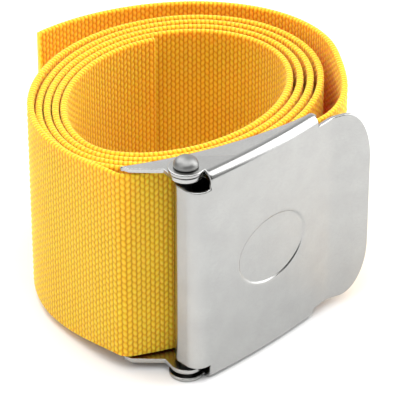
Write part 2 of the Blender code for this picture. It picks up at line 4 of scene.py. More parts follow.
import bmesh
import bpy
import numpy as np
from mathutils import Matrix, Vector


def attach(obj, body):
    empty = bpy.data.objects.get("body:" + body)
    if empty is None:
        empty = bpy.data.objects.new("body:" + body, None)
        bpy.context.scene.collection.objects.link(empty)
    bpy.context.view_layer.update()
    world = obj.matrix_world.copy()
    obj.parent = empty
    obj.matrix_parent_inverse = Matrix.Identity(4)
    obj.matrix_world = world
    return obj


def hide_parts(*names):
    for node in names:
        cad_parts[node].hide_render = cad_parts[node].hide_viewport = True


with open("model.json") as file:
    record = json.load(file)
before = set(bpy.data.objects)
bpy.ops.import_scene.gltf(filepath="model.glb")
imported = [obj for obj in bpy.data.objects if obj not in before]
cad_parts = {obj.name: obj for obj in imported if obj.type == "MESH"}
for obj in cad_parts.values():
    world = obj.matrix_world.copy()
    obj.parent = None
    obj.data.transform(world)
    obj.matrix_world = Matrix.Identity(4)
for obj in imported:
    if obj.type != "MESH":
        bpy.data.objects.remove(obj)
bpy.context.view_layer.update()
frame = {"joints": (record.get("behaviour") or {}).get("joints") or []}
mm = 0.001
hinge = np.array(frame["joints"][0]["pos_m"][:2]) / mm  # the buckle's pin in plan; pieces are in mm from it
scene = bpy.context.scene
scene.view_settings.view_transform = "Standard"
print("frame loaded, pin at", hinge.round(2), "mm")


# camera, at the photograph's angle

shot = {
    "azimuth": -43.0,
    "elevation": 32.0,
    "distance": 626.0,
    "lookAt": (26.2, 23.5, 25.7),
    "focalPixels": 2600.0,  # focal length in pixels of a 400 pixel frame
    "framePixels": 400.0,
    "sensor": 36.0,
    "clipStart": 10.0,
}


def towardsCamera():
    a = math.radians(shot["azimuth"])
    e = math.radians(shot["elevation"])
    return Vector((math.sin(a) * math.cos(e), -math.cos(a) * math.cos(e), math.sin(e)))


def rowPoint(point):
    return Vector((point[0] + hinge[0], point[1] + hinge[1], point[2])) * mm


def addCamera():
    data = bpy.data.cameras.new("camera")
    data.sensor_width = shot["sensor"]
    data.lens = shot["focalPixels"] / shot["framePixels"] * shot["sensor"]
    data.clip_start = shot["clipStart"] * mm
    camera = bpy.data.objects.new("camera", data)
    camera.location = rowPoint(shot["lookAt"]) + towardsCamera() * shot["distance"] * mm
    camera.rotation_mode = "QUATERNION"
    camera.rotation_quaternion = (-towardsCamera()).to_track_quat("-Z", "Y")
    scene.collection.objects.link(camera)
    scene.camera = camera


addCamera()
print("camera placed")


# small helpers for materials and meshes

def toLinear(hexColour):
    parts = [int(hexColour[k:k + 2], 16) / 255 for k in (1, 3, 5)]
    return [c / 12.92 if c <= 0.04045 else ((c + 0.055) / 1.055) ** 2.4 for c in parts] + [1.0]


def addNode(tree, kind, inputs=None, **settings):
    node = tree.nodes.new("ShaderNode" + kind)
    for name, value in settings.items():
        setattr(node, name, value)
    for socket, value in (inputs or {}).items():
        if isinstance(value, bpy.types.NodeSocket):
            tree.links.new(value, node.inputs[socket])
        else:
            node.inputs[socket].default_value = value
    return node


def newMaterial(name):
    material = bpy.data.materials.new(name)
    material.use_nodes = True
    return material, material.node_tree, material.node_tree.nodes["Principled BSDF"]


def newMesh(name, points, faces):
    mesh = bpy.data.meshes.new(name)
    placed = (np.asarray(points) + [hinge[0], hinge[1], 0.0]) * mm
    mesh.from_pydata(placed.tolist(), [], faces)
    mesh.update()
    mesh.shade_smooth()
    return mesh


def addPiece(name, mesh, material, body, node):
    mesh.materials.append(material)
    piece = bpy.data.objects.new(name, mesh)
    scene.collection.objects.link(piece)
    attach(piece, body)
    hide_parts(node)
    return piece


def gridFaces(rows):
    faces = []
    for i in range(len(rows) - 1):
        for j in range(len(rows[0]) - 1):
            faces.append([rows[i][j], rows[i + 1][j], rows[i + 1][j + 1], rows[i][j + 1]])
    return faces


making = {
    "digits": 4,  # corners alike to this many decimals are one corner
    "flatCosine": 0.999999,
    "flatAngle": 0.5,  # in degrees; a much smaller one is lost in the mesh's number precision
    "edgeSegments": 4,
}


# joins patches of loose faces where their corners meet and turns them all to face outwards;
# each part that lies flat across one of the given ways becomes one face, which leaves room for rounded edges
def stitched(name, patches, outwards, flatWays=()):
    number = {}
    faces = []
    for patch in patches:
        for face in patch:
            corners = [tuple(round(float(value), making["digits"]) for value in point) for point in face]
            ring = [number.setdefault(corner, len(number)) for corner in corners]
            ring = [k for i, k in enumerate(ring) if k != ring[i - 1]]
            if len(ring) > 2:
                faces.append(ring)
    mesh = newMesh(name, list(number), faces)
    work = bmesh.new()
    work.from_mesh(mesh)
    bmesh.ops.recalc_face_normals(work, faces=work.faces)
    facing = sum(face.normal.dot(Vector(outwards)) * face.calc_area() for face in work.faces)
    if facing < 0:
        bmesh.ops.reverse_faces(work, faces=work.faces)
    for way in flatWays:
        flat = {face for face in work.faces if abs(face.normal.dot(Vector(way))) > making["flatCosine"]}
        within = [edge for edge in work.edges if len(edge.link_faces) == 2 and flat.issuperset(edge.link_faces)]
        bmesh.ops.dissolve_limit(work, angle_limit=math.radians(making["flatAngle"]), verts=[], edges=within)
    work.to_mesh(mesh)
    work.free()
    return mesh


# the buckle's sheets: thickness, pin holes, and tumbled edges along both sides of the rim
def thicken(piece, sheet, rounding, holes):
    skinFaces = len(piece.data.polygons)
    solid = piece.modifiers.new("thickness", "SOLIDIFY")
    solid.thickness = sheet * mm
    solid.offset = -1.0
    solid.use_even_offset = True
    depsgraph = bpy.context.evaluated_depsgraph_get()
    thick = bpy.data.meshes.new_from_object(piece.evaluated_get(depsgraph))
    piece.modifiers.remove(solid)
    piece.data = thick
    work = bmesh.new()
    work.from_mesh(thick)
    weight = work.edges.layers.float.new("bevel_weight_edge")
    for edge in work.edges:
        kinds = {face.index < 2 * skinFaces for face in edge.link_faces}  # the rim comes after both skins
        edge[weight] = 1.0 if len(kinds) == 2 else 0.0
    work.to_mesh(thick)
    work.free()
    hole = piece.modifiers.new("pin hole", "BOOLEAN")
    hole.operation = "DIFFERENCE"
    hole.solver = "EXACT"
    hole.object = holes
    tumbled = piece.modifiers.new("tumbled edges", "BEVEL")
    tumbled.width = rounding * mm
    tumbled.segments = making["edgeSegments"]
    tumbled.limit_method = "WEIGHT"
    tumbled.use_clamp_overlap = False
    piece.modifiers.new("even shading", "WEIGHTED_NORMAL")


def smoothStep(share):
    share = min(max(share, 0.0), 1.0)
    return share * share * (3 - 2 * share)


# materials

webbingLook = {
    # gap is painted shade in the valleys between ribs and yarns, crown a painted highlight on their tops, body
    # the yarn's own colour
    "gap": "#CC860A",  # painted shade between the ribs
    "body": "#F8BA1A",
    "crown": "#FDD03C",
    "stops": (0.0, 0.38, 0.85),  # where these three stand on the scale of shade
    "slant": 0.8,  # how far the yarns lean on each rib, in radians of the pattern
    "ribShare": 0.65,  # of the relief; the rest is the yarns on a rib
    "bumpDepth": 0.26,
    "bumpStrength": 0.8,
    "fibre": 0.12,  # filament width
    "coarser": 4,  # the filaments are drawn this many times as coarse, or they would not show
    "fibreShade": 0.30,
    "fibreHeight": 0.25,
    "cloud": 9.0,  # size of the patches of uneven dye
    "cloudShade": 0.10,
    "shadeDrop": 0.20,
    "roughness": 0.72,
    "specular": 0.2,
    "sheen": 0.3,
    "sheenRoughness": 0.5,
    "sheenTint": "#FFF0D0",
    "seep": 0.8,  # light seeps through the yarn and glows orange in the folds
    "seepDepth": 3.0,
    "seepShares": (1.0, 0.4, 0.06),  # of that depth for red, green and blue
}


# polypropylene webbing, plain woven from thick picks: matte ribs of staggered oval yarns, with painted shade in
# darker orange in the depths between them and a painted highlight on their crowns
def webbingMaterial():
    look = webbingLook
    material, tree, shader = newMaterial("woven polypropylene webbing")
    weave = addNode(tree, "Attribute", attribute_name="weave")
    split = addNode(tree, "SeparateXYZ", {0: weave.outputs["Vector"]})
    along = addNode(tree, "Math", {0: split.outputs["X"], 1: math.pi}, operation="MULTIPLY").outputs[0]
    across = addNode(tree, "Math", {0: split.outputs["Y"], 1: 2 * math.pi}, operation="MULTIPLY").outputs[0]
    rib = addNode(tree, "Math", {0: along}, operation="COSINE").outputs[0]
    lean = addNode(tree, "Math", {0: along}, operation="SINE").outputs[0]
    phase = addNode(tree, "Math", {0: lean, 1: look["slant"], 2: across}, operation="MULTIPLY_ADD").outputs[0]
    yarn = addNode(tree, "Math", {0: phase}, operation="COSINE").outputs[0]
    yarn = addNode(tree, "Math", {0: yarn, 1: rib}, operation="MULTIPLY").outputs[0]
    yarn = addNode(tree, "Math", {0: yarn, 1: split.outputs["Z"]}, operation="MULTIPLY").outputs[0]
    ridge = addNode(tree, "Math", {0: rib}, operation="ABSOLUTE").outputs[0]
    ridge = addNode(tree, "Math", {0: ridge, 1: look["ribShare"]}, operation="MULTIPLY").outputs[0]
    relief = addNode(tree, "Math", {
        0: yarn, 1: 1 - look["ribShare"], 2: ridge}, operation="MULTIPLY_ADD").outputs[0]
    place = addNode(tree, "TexCoord")
    fibre = addNode(tree, "TexNoise", {
        "Vector": place.outputs["Object"], "Scale": 1 / (look["fibre"] * mm * look["coarser"]),
        "Detail": 2.0, "Roughness": 0.6})
    uneven = addNode(tree, "TexNoise", {
        "Vector": place.outputs["Object"], "Scale": 1 / (look["cloud"] * mm), "Detail": 1.0})
    shade = addNode(tree, "Math", {
        0: fibre.outputs["Fac"], 1: look["fibreShade"], 2: relief}, operation="MULTIPLY_ADD").outputs[0]
    shade = addNode(tree, "Math", {
        0: uneven.outputs["Fac"], 1: look["cloudShade"], 2: shade}, operation="MULTIPLY_ADD").outputs[0]
    shade = addNode(tree, "Math", {0: shade, 1: look["shadeDrop"]}, operation="SUBTRACT").outputs[0]
    # the relief sets painted shade in the valleys and a painted highlight on the crowns; the fibre grain and
    # uneven dye add the yarn's own tone
    ramp = addNode(tree, "ValToRGB", {0: shade})
    deep, middle, high = look["stops"]
    ramp.color_ramp.elements[0].position = deep
    ramp.color_ramp.elements[0].color = toLinear(look["gap"])
    ramp.color_ramp.elements[1].position = high
    ramp.color_ramp.elements[1].color = toLinear(look["crown"])
    ramp.color_ramp.elements.new(middle).color = toLinear(look["body"])
    height = addNode(tree, "Math", {
        0: fibre.outputs["Fac"], 1: look["fibreHeight"], 2: relief}, operation="MULTIPLY_ADD").outputs[0]
    bump = addNode(tree, "Bump", {
        "Height": height, "Strength": look["bumpStrength"], "Distance": look["bumpDepth"] * mm})
    tree.links.new(ramp.outputs["Color"], shader.inputs["Base Color"])
    tree.links.new(bump.outputs["Normal"], shader.inputs["Normal"])
    shader.inputs["Roughness"].default_value = look["roughness"]
    shader.inputs["Sheen Weight"].default_value = look["sheen"]
    shader.inputs["Sheen Roughness"].default_value = look["sheenRoughness"]
    shader.inputs["Sheen Tint"].default_value = toLinear(look["sheenTint"])
    shader.inputs["Specular IOR Level"].default_value = look["specular"]
    shader.inputs["Subsurface Weight"].default_value = look["seep"]
    shader.inputs["Subsurface Radius"].default_value = look["seepShares"]
    shader.inputs["Subsurface Scale"].default_value = look["seepDepth"] * mm
    return material


steelLook = {
    "stretch": 0.35,  # the marks run along the sheet, about three times as long as wide
    "markDepth": 0.01,
    "cloud": 7.0,  # size of the patches where the tumbling took more or less
    "shades": (0.10, 0.40),  # from the darker steel in the marks to the paler
    "rougher": 0.06,  # in the marks
    "detail": 3.0,
    "noise": 0.6,
}
# grain is the width of the marks; tumbling leaves finer ones, which would not show
# one stainless steel in three colours: the plate's paler colour is painted light, the rivet's darker one
# painted shade for the dark room its dome reflects
leverLook = {"pale": "#AFAFAD", "dark": "#A5A5A3", "roughness": 0.20, "scratch": 0.40, "grain": 0.30}
plateLook = {"pale": "#B6B6B4", "dark": "#ABABA9", "roughness": 0.20, "scratch": 0.35, "grain": 0.30}
rivetLook = {"pale": "#90908E", "dark": "#868684", "roughness": 0.40, "scratch": 0.10, "grain": 0.20}


# stainless steel, tumbled after stamping: a pale satin skin with faint marks along the sheet
def steelMaterial(name, look):
    material, tree, shader = newMaterial(name)
    place = addNode(tree, "TexCoord")
    stretched = addNode(tree, "Mapping", {
        "Vector": place.outputs["Object"], "Scale": (steelLook["stretch"], 1.0, 1.0)})
    marks = addNode(tree, "TexNoise", {
        "Vector": stretched.outputs["Vector"], "Scale": 1 / (look["grain"] * mm),
        "Detail": steelLook["detail"], "Roughness": steelLook["noise"]})
    clouds = addNode(tree, "TexNoise", {
        "Vector": place.outputs["Object"], "Scale": 1 / (steelLook["cloud"] * mm),
        "Detail": steelLook["detail"]})
    blend = addNode(tree, "Math", {0: marks.outputs["Fac"], 1: clouds.outputs["Fac"]}, operation="MULTIPLY")
    inMarks, between = steelLook["shades"]
    ramp = addNode(tree, "ValToRGB", {0: blend.outputs[0]})
    ramp.color_ramp.elements[0].position = inMarks
    ramp.color_ramp.elements[0].color = toLinear(look["dark"])
    ramp.color_ramp.elements[1].position = between
    ramp.color_ramp.elements[1].color = toLinear(look["pale"])
    rough = addNode(tree, "MapRange", {
        "Value": blend.outputs[0], "From Min": inMarks, "From Max": between,
        "To Min": look["roughness"] + steelLook["rougher"], "To Max": look["roughness"]})
    bump = addNode(tree, "Bump", {
        "Height": marks.outputs["Fac"], "Strength": look["scratch"], "Distance": steelLook["markDepth"] * mm})
    tree.links.new(ramp.outputs["Color"], shader.inputs["Base Color"])
    tree.links.new(rough.outputs["Result"], shader.inputs["Roughness"])
    tree.links.new(bump.outputs["Normal"], shader.inputs["Normal"])
    shader.inputs["Metallic"].default_value = 1.0
    return material


webbingCloth = webbingMaterial()
leverSteel = steelMaterial("tumbled stainless lever", leverLook)  # a pale, faintly cloudy cover
plateSteel = steelMaterial("tumbled stainless plate", plateLook)  # painted light: a paler colour brightens the flanges, with a fine sparkle
rivetSteel = steelMaterial("polished stainless rivet", rivetLook)  # painted shade: a darker colour dims the dome, with a soft gloss
print("materials made")


# base plate: a bowed channel whose flanges carry the hinge ears

plate = {
    "sheet": 1.1,
    "bow": 108.0,  # radius of the back face
    "bendInside": 0.5,
    "tilt": 20.7,  # slope of the plate at the hinge, in degrees
    "left": 12.8,  # flange length on the outer side of the hinge
    "plateLeft": 10.4,
    "right": 37.2,
    "chamfer": 1.45,  # length of the slope that makes the flange's left end a point
    "shoulder": 2.5,  # flange heights: after the slope, at the ear, at the right end
    "root": 5.3,
    "end": 2.5,
    "line": 3.1,  # the right flange's edge passes the pin this far out
    "earRadius": 3.8,
    "bottom": 2.0,
    "height": 53.2,
    "pinOffset": 7.8,  # hinge axis to the back face
    "edgeRound": 0.15,
    "bendPoints": 7,
    "backPoints": 12,  # from the bend to the middle of the back
    "earStep": 5,  # degrees between the ear's points
    "earClear": 0.3,  # from the ear to the points beside it
    "earSlack": 0.0004,  # keeps the ear's first and last points within its circle
    "leftPoints": 10,
    "rightPoints": 40,
    "tipPoints": 5,
}
plateTilt = math.radians(plate["tilt"])
plateReach = plate["bow"] + plate["pinOffset"]
plateMiddle = plate["bottom"] + plate["height"] / 2
bowMiddle = plateReach * np.array([math.sin(plateTilt), math.cos(plateTilt)])


def onBow(radius, along):
    turn = plateTilt - along / plate["bow"]
    return bowMiddle - radius * np.array([math.sin(turn), math.cos(turn)])


def flangeHeight(along):
    turn = plateTilt - along / plate["bow"]
    ray = -np.array([math.sin(turn), math.cos(turn)])
    offset = plateReach * math.sin(along / plate["bow"])
    ear = 0.0
    if abs(offset) < plate["earRadius"]:
        ear = plateReach * math.cos(along / plate["bow"]) - plate["bow"]
        ear += math.sqrt(plate["earRadius"] ** 2 - offset ** 2)
    if along < 0:
        stations = [-plate["left"] + plate["chamfer"], -plate["earRadius"], 0]
        low = np.interp(along, stations, [plate["shoulder"], plate["root"], plate["root"]])
    else:
        top = np.array([0.0, -plate["line"]])
        end = onBow(plate["bow"] + plate["end"], plate["right"])
        across = np.array([top[1] - end[1], end[0] - top[0]])
        low = across @ (top - bowMiddle) / (across @ ray) - plate["bow"]
    return max(ear, low)


# half of the plate's section, from the flange's edge round the bend to the middle
def plateProfile(along):
    top = plate["bottom"] + plate["height"]
    bend = plate["sheet"] + plate["bendInside"]
    edge = flangeHeight(along)
    half = [(edge, top)]
    for a in np.radians(np.linspace(0, 90, plate["bendPoints"])):
        half.append((bend * (1 - math.sin(a)), top - bend * (1 - math.cos(a))))
    return half + [(0.0, z) for z in np.linspace(top - bend, plateMiddle, plate["backPoints"])[1:]]


def plateSkin():
    ear = (plate["earRadius"] - plate["earSlack"]) * np.cos(np.radians(range(180, -1, -plate["earStep"])))
    stations = np.concatenate([
        np.linspace(-plate["plateLeft"], -plate["earRadius"] - plate["earClear"], plate["leftPoints"]),
        np.arcsin(ear / plateReach) * plate["bow"],
        np.linspace(plate["earRadius"] + plate["earClear"], plate["right"], plate["rightPoints"]),
    ])
    rows = []
    for along in stations:
        half = plateProfile(along)
        whole = half + [(w, 2 * plateMiddle - z) for w, z in reversed(half[:-1])]
        rows.append([(*onBow(plate["bow"] + w, along), z) for w, z in whole])
    tips = []
    shoulder = -plate["left"] + plate["chamfer"]
    halfBend = 2 + plate["bendPoints"] // 2
    for share in np.linspace(0, 1, plate["tipPoints"]):
        along = shoulder + (-plate["plateLeft"] - shoulder) * share
        part = plateProfile(along)[:halfBend]  # the flange with half of its bend
        slope = (1 - share) * plate["chamfer"] / (part[0][0] - part[-1][0])
        tips.append([(*onBow(plate["bow"] + w, along - slope * (part[0][0] - w)), z) for w, z in part])
    lower = [[(x, y, 2 * plateMiddle - z) for x, y, z in row] for row in tips]
    return [gridFaces(rows), gridFaces(tips), gridFaces(lower)]


# lever: a bowed cover with bent lips, ears, a curl round the pin, a finger tab and a stamped oval

lever = {
    "sheet": 1.0,
    "bow": 200.0,
    "bendInside": 1.4,
    "crown": 10.4,  # where the bowed face stands out furthest
    "faceOffset": 6.5,  # hinge axis to the face at its crown
    "faceStart": 1.9,
    "faceEnd": 37.6,
    "height": 56.5,
    "lip": 2.8,
    "earRadius": 4.2,
    "earRunout": 11.5,  # where the gusset from the ear runs into the lip
    "notch": 4.2,  # lever edge to the end of the curl
    "curlRadius": 3.7,
    "camWall": 2.6,  # pin to the curl's skin, and to the grip where it stands out furthest
    "camReach": 4.7,
    "camRise": 125.0,  # where the grip begins to stand out, seen from the pin
    "ridgeDepth": 0.15,
    "ridges": 7,
    "leafEnd": -48.0,  # where the curled sheet comes back to the face, seen from the pin
    "leafReach": 6.93,
    "tabStep": 2.8,  # the tab is this much lower than the lever at each edge
    "tabFlat": 4.08,  # straight run before the flare
    "flareRadius": 5.5,
    "flareAngle": -16.0,
    "tabLength": 9.58,  # straight run after it
    "tabEnd": 23.0,
    "tabCorner": 7.6,
    "ovalMiddle": 21.8,
    "ovalLength": 22.0,
    "ovalHeight": 17.0,
    "ovalSlope": 40.0,  # steepest slope of the step round the oval, in degrees
    "ovalToe": 0.45,  # radii of the step's lower and upper rounding
    "ovalShoulder": 1.02,
    "edgeRound": 0.32,
    "leafPoints": 16,
    "camPoints": 12,
    "curlPoints": 22,
    "tabFlatPoints": 3,
    "flarePoints": 14,
    "cornerPoints": 19,
    "gussetPoints": 16,  # along the face beside the gusset, and past it
    "facePoints": 30,
    "heightPoints": 45,
    "toePoints": 4,
    "shoulderPoints": 6,
    "floorRings": (0.15, 0.4, 0.65, 0.85),  # in the oval's floor, as shares of its size
    "faceRings": (0.06, 0.15, 0.28, 0.45, 0.63, 0.82, 1.0),  # from the oval's step to the face's sides
    "bendPoints": 8,
    "earStep": 4,  # degrees between the ear's points
    "earClear": 0.4,  # from the ear's points to the face's first
}
leverMiddle = lever["height"] / 2
leverBend = lever["sheet"] + lever["bendInside"]
faceMiddle = np.array([lever["crown"], lever["bow"] - lever["faceOffset"]])
ovalDepth = (lever["ovalToe"] + lever["ovalShoulder"]) * (1 - math.cos(math.radians(lever["ovalSlope"])))


def onFace(x, depth):
    turn = math.asin((x - lever["crown"]) / lever["bow"])
    return faceMiddle + (lever["bow"] - depth) * np.array([math.sin(turn), -math.cos(turn)])


def earSpan(x):
    turn = math.asin((x - lever["crown"]) / lever["bow"]) + math.atan2(faceMiddle[0], faceMiddle[1])
    reach = float(np.linalg.norm(faceMiddle))
    offset = reach * math.sin(turn)
    if abs(offset) >= lever["earRadius"]:
        return None
    half = math.sqrt(lever["earRadius"] ** 2 - offset ** 2)
    return lever["bow"] - reach * math.cos(turn) - half, lever["bow"] - reach * math.cos(turn) + half


def gussetDepth(x):
    rise = lever["faceOffset"] - lever["lip"]
    far = lever["earRunout"]
    r2 = lever["earRadius"] ** 2
    a, b, c = far ** 2 - r2, -2 * far * rise, rise ** 2 - r2
    slope = (-b + math.sqrt(b * b - 4 * a * c)) / (2 * a)
    return lever["lip"] + slope * max(far - x, 0.0)


def circlePoint(middle, radius, degrees):
    a = math.radians(degrees)
    return np.array(middle) + radius * np.array([math.cos(a), math.sin(a)])


# the curl's outer skin, from the sheet's end behind the face over the grip and round the pin to the face
def curlLine(ridge):
    wall, reach, rise = lever["camWall"], lever["camReach"], lever["camRise"]
    start = 90 - plate["tilt"]
    line = []
    for angle in np.linspace(lever["leafEnd"], start, lever["leafPoints"])[:-1]:
        share = (start - angle) / (start - lever["leafEnd"])
        line.append(circlePoint((0, 0), reach + (lever["leafReach"] - reach) * share ** 2, angle))
    for k, angle in enumerate(np.linspace(start, rise, 2 * lever["ridges"] + 1)):
        radius = wall + (reach - wall) * (rise - angle) / (rise - start)
        line.append(circlePoint((0, 0), radius - ridge * (k % 2), angle))
    line += [circlePoint((0, 0), wall, angle) for angle in np.linspace(rise, 180, lever["camPoints"])[1:]]
    across = lever["curlRadius"] - wall
    far = lever["bow"] - lever["curlRadius"]
    middle = np.array([across, faceMiddle[1] - math.sqrt(far ** 2 - (across - faceMiddle[0]) ** 2)])
    end = math.degrees(math.atan2(*(middle - faceMiddle)[::-1])) + 360
    curl = np.linspace(180, end, lever["curlPoints"])[1:]
    return line + [circlePoint(middle, lever["curlRadius"], angle) for angle in curl]


# the tab's outer skin past the lips: point and half height
def tabLine():
    heading = math.asin((lever["faceEnd"] - lever["crown"]) / lever["bow"])
    flare = math.radians(lever["flareAngle"])
    spot = onFace(lever["faceEnd"], 0.0)
    full = leverMiddle - lever["tabStep"]
    end = lever["tabEnd"] / 2
    turning = lever["flarePoints"]
    steps = [(lever["tabFlat"] / lever["tabFlatPoints"], heading, 0.0)] * lever["tabFlatPoints"]
    for k in range(turning):
        go = heading + (flare - heading) * (k + 0.5) / turning
        steps.append((lever["flareRadius"] * abs(flare - heading) / turning, go, 0.0))
    steps.append((lever["tabLength"] - lever["tabCorner"], flare, 0.0))
    rounded = np.sin(np.radians(np.linspace(0, 90, lever["cornerPoints"])))
    for before, after in zip(rounded, rounded[1:]):
        steps.append((lever["tabCorner"] * (after - before), flare, after))
    line = []
    for length, go, corner in steps:
        spot = spot + length * np.array([math.cos(go), math.sin(go)])
        line.append((spot, end + (full - end) * math.sqrt(max(1 - corner ** 2, 0.0))))
    return line


def leverSkin():
    top = lever["height"]
    xs = np.concatenate([
        np.linspace(lever["faceStart"], lever["earRunout"], lever["gussetPoints"]),
        np.linspace(lever["earRunout"], lever["faceEnd"], lever["facePoints"])[1:],
    ])
    inner = np.linspace(lever["notch"], top - lever["notch"], lever["heightPoints"])
    zs = np.concatenate([[leverBend, lever["tabStep"]], inner, [top - lever["tabStep"], top - leverBend]])
    patches = []

    # the face, in rings from the oval out to its four sides
    outline = [(x, zs[0]) for x in xs[:-1]] + [(xs[-1], z) for z in zs[:-1]]
    outline += [(x, zs[-1]) for x in xs[:0:-1]] + [(xs[0], z) for z in zs[:0:-1]]
    a, b = lever["ovalLength"] / 2, lever["ovalHeight"] / 2
    cx = lever["ovalMiddle"]
    turns = [math.atan2((z - leverMiddle) / b, (x - cx) / a) for x, z in outline]
    rings = []
    for share in lever["floorRings"]:
        rings.append([(*onFace(cx + share * a * math.cos(t), ovalDepth), leverMiddle + share * b * math.sin(t))
                      for t in turns])
    steep = math.radians(lever["ovalSlope"])
    toe, shoulder = lever["ovalToe"], lever["ovalShoulder"]
    step = [(toe * (math.sin(t) - math.sin(steep)), ovalDepth - toe * (1 - math.cos(t)))
            for t in np.linspace(0, steep, lever["toePoints"])[:-1]]
    step += [(shoulder * (math.sin(steep) - math.sin(t)), shoulder * (1 - math.cos(t)))
             for t in np.linspace(steep, 0, lever["shoulderPoints"])]
    for out, depth in step:
        rings.append([(*onFace(cx + (a + out) * math.cos(t), depth), leverMiddle + (b + out) * math.sin(t))
                      for t in turns])
    for share in lever["faceRings"]:
        ring = []
        for t, (x, z) in zip(turns, outline):
            nearX = cx + (a + step[-1][0]) * math.cos(t)
            nearZ = leverMiddle + (b + step[-1][0]) * math.sin(t)
            ring.append((*onFace(nearX + (x - nearX) * share, 0.0), nearZ + (z - nearZ) * share))
        rings.append(ring)
    patches.append(gridFaces([ring + ring[:1] for ring in rings]))
    heart = (*onFace(cx, ovalDepth), leverMiddle)
    first = rings[0]
    patches.append([[heart, first[k - 1], first[k]] for k in range(len(first))])

    # bends, lips and ears, the same on both sides
    reach = float(np.linalg.norm(faceMiddle))
    turning = np.radians(range(180 - lever["earStep"], -1, -lever["earStep"]))
    ears = np.arcsin(lever["earRadius"] * np.cos(turning) / reach)
    ears = lever["crown"] + lever["bow"] * np.sin(ears - math.atan2(*faceMiddle))
    ears = ears[ears < lever["faceStart"] - lever["earClear"]]
    bendArcs = np.radians(np.linspace(90, 0, lever["bendPoints"]))
    lipRows, earRows = [], []
    for x in xs:
        span = earSpan(x)
        row = [(leverBend * (1 - math.sin(t)), top - leverBend * (1 - math.cos(t))) for t in bendArcs]
        row.append((max(gussetDepth(x), span[1] if span else 0.0), top))
        lipRows.append([(*onFace(x, depth), z) for depth, z in row])
    for x in ears:
        earRows.append([(*onFace(x, depth), top) for depth in earSpan(x)])
    earStart = (*onFace(lever["faceStart"], earSpan(lever["faceStart"])[0]), top)
    earRows.append([earStart, lipRows[0][-1]])
    sides = gridFaces(lipRows) + gridFaces(earRows)
    sides[len(bendArcs) - 1].append(earStart)  # the ear's inner corner lies on the first lip face's edge
    patches.append(sides)
    patches.append([[(x, y, top - z) for x, y, z in face] for face in sides])

    # the curl, whose ridges stop short of its ends, and the tab
    curl = []
    for side, spot in zip(curlLine(0.0), curlLine(lever["ridgeDepth"])):
        curl.append([(*side, inner[0])] + [(*spot, z) for z in inner[1:-1]] + [(*side, inner[-1])])
    curl.append([(*onFace(lever["faceStart"], 0.0), z) for z in inner])
    patches.append(gridFaces(curl))
    full = leverMiddle - lever["tabStep"]
    tabHeights = (zs[1:-1] - leverMiddle) / full
    tab = [[(*onFace(lever["faceEnd"], 0.0), z) for z in zs[1:-1]]]
    tab += [[(*spot, leverMiddle + half * share) for share in tabHeights] for spot, half in tabLine()]
    patches.append(gridFaces(tab))
    return patches


# hinge pin: a polished rivet with a domed head and a peened lower end

rivet = {
    "radius": 1.4,
    "headRadius": 2.9,
    "headHeight": 2.4,
    "headRim": 0.3,
    "headGap": 0.2,
    "headEdge": 0.12,
    "flareRadius": 2.0,
    "flareHeight": 1.0,
    "flareEdge": (0.2, 0.15),  # width and height of its rounding
    "lift": 0.15,
    "holeGap": 0.15,
    "holePast": 2.0,  # the cutter for the holes goes this far past the lever
    "sides": 72,
    "domePoints": 20,
}


def turnedMesh(name, profile):
    turns = [2 * math.pi * k / rivet["sides"] for k in range(rivet["sides"] + 1)]
    rows = [[(radius * math.cos(t), radius * math.sin(t), z) for t in turns] for radius, z in profile]
    return stitched(name, [gridFaces(rows)], (0, 0, 1))


def rivetProfile():
    seat = lever["height"] + rivet["headGap"]
    low = rivet["lift"]
    wide, tall = rivet["flareEdge"]
    edge = rivet["headEdge"]
    profile = [(0.0, low), (rivet["flareRadius"] - wide, low), (rivet["flareRadius"], low + tall)]
    profile += [(rivet["radius"], low + rivet["flareHeight"]), (rivet["radius"], seat)]
    profile += [(rivet["headRadius"] - edge, seat), (rivet["headRadius"], seat + edge)]
    dome = rivet["headHeight"] - rivet["headRim"]
    for a in np.radians(np.linspace(0, 90, rivet["domePoints"])):
        profile.append((rivet["headRadius"] * math.cos(a), seat + rivet["headRim"] + dome * math.sin(a)))
    return profile


def pinHole():
    radius = rivet["radius"] + rivet["holeGap"]
    wide = rivet["flareRadius"] + rivet["holeGap"]
    low, high = -rivet["holePast"], lever["height"] + rivet["holePast"]
    slope = (wide - radius) / rivet["flareHeight"]
    past = wide + slope * (rivet["lift"] - low)
    mesh = turnedMesh("pin hole", [
        (0.0, low), (past, low), (radius, rivet["lift"] + rivet["flareHeight"]), (radius, high), (0.0, high)])
    cutter = bpy.data.objects.new("pinHole", mesh)
    cutter.display_type = "WIRE"
    cutter.hide_render = True
    scene.collection.objects.link(cutter)
    return cutter


holes = pinHole()
plateMesh = stitched("base plate", plateSkin(), (0, 1, 0), [(0, 0, 1)])
basePiece = addPiece("basePlate", plateMesh, plateSteel, "belt", "base_plate")
thicken(basePiece, plate["sheet"], plate["edgeRound"], holes)
flare = math.radians(lever["flareAngle"])
leverMesh = stitched("lever", leverSkin(), (0, -1, 0), [(0, 0, 1), (math.sin(flare), -math.cos(flare), 0)])
leverPiece = addPiece("leverCover", leverMesh, leverSteel, "lever", "lever")
thicken(leverPiece, lever["sheet"], lever["edgeRound"], holes)
rivetMesh = turnedMesh("rivet", rivetProfile())
addPiece("hingeRivet", rivetMesh, rivetSteel, "belt", "hinge_pin")
print("buckle made")


# webbing: one strip wound into the roll, folded round the plate's end, through the buckle and round to the tail

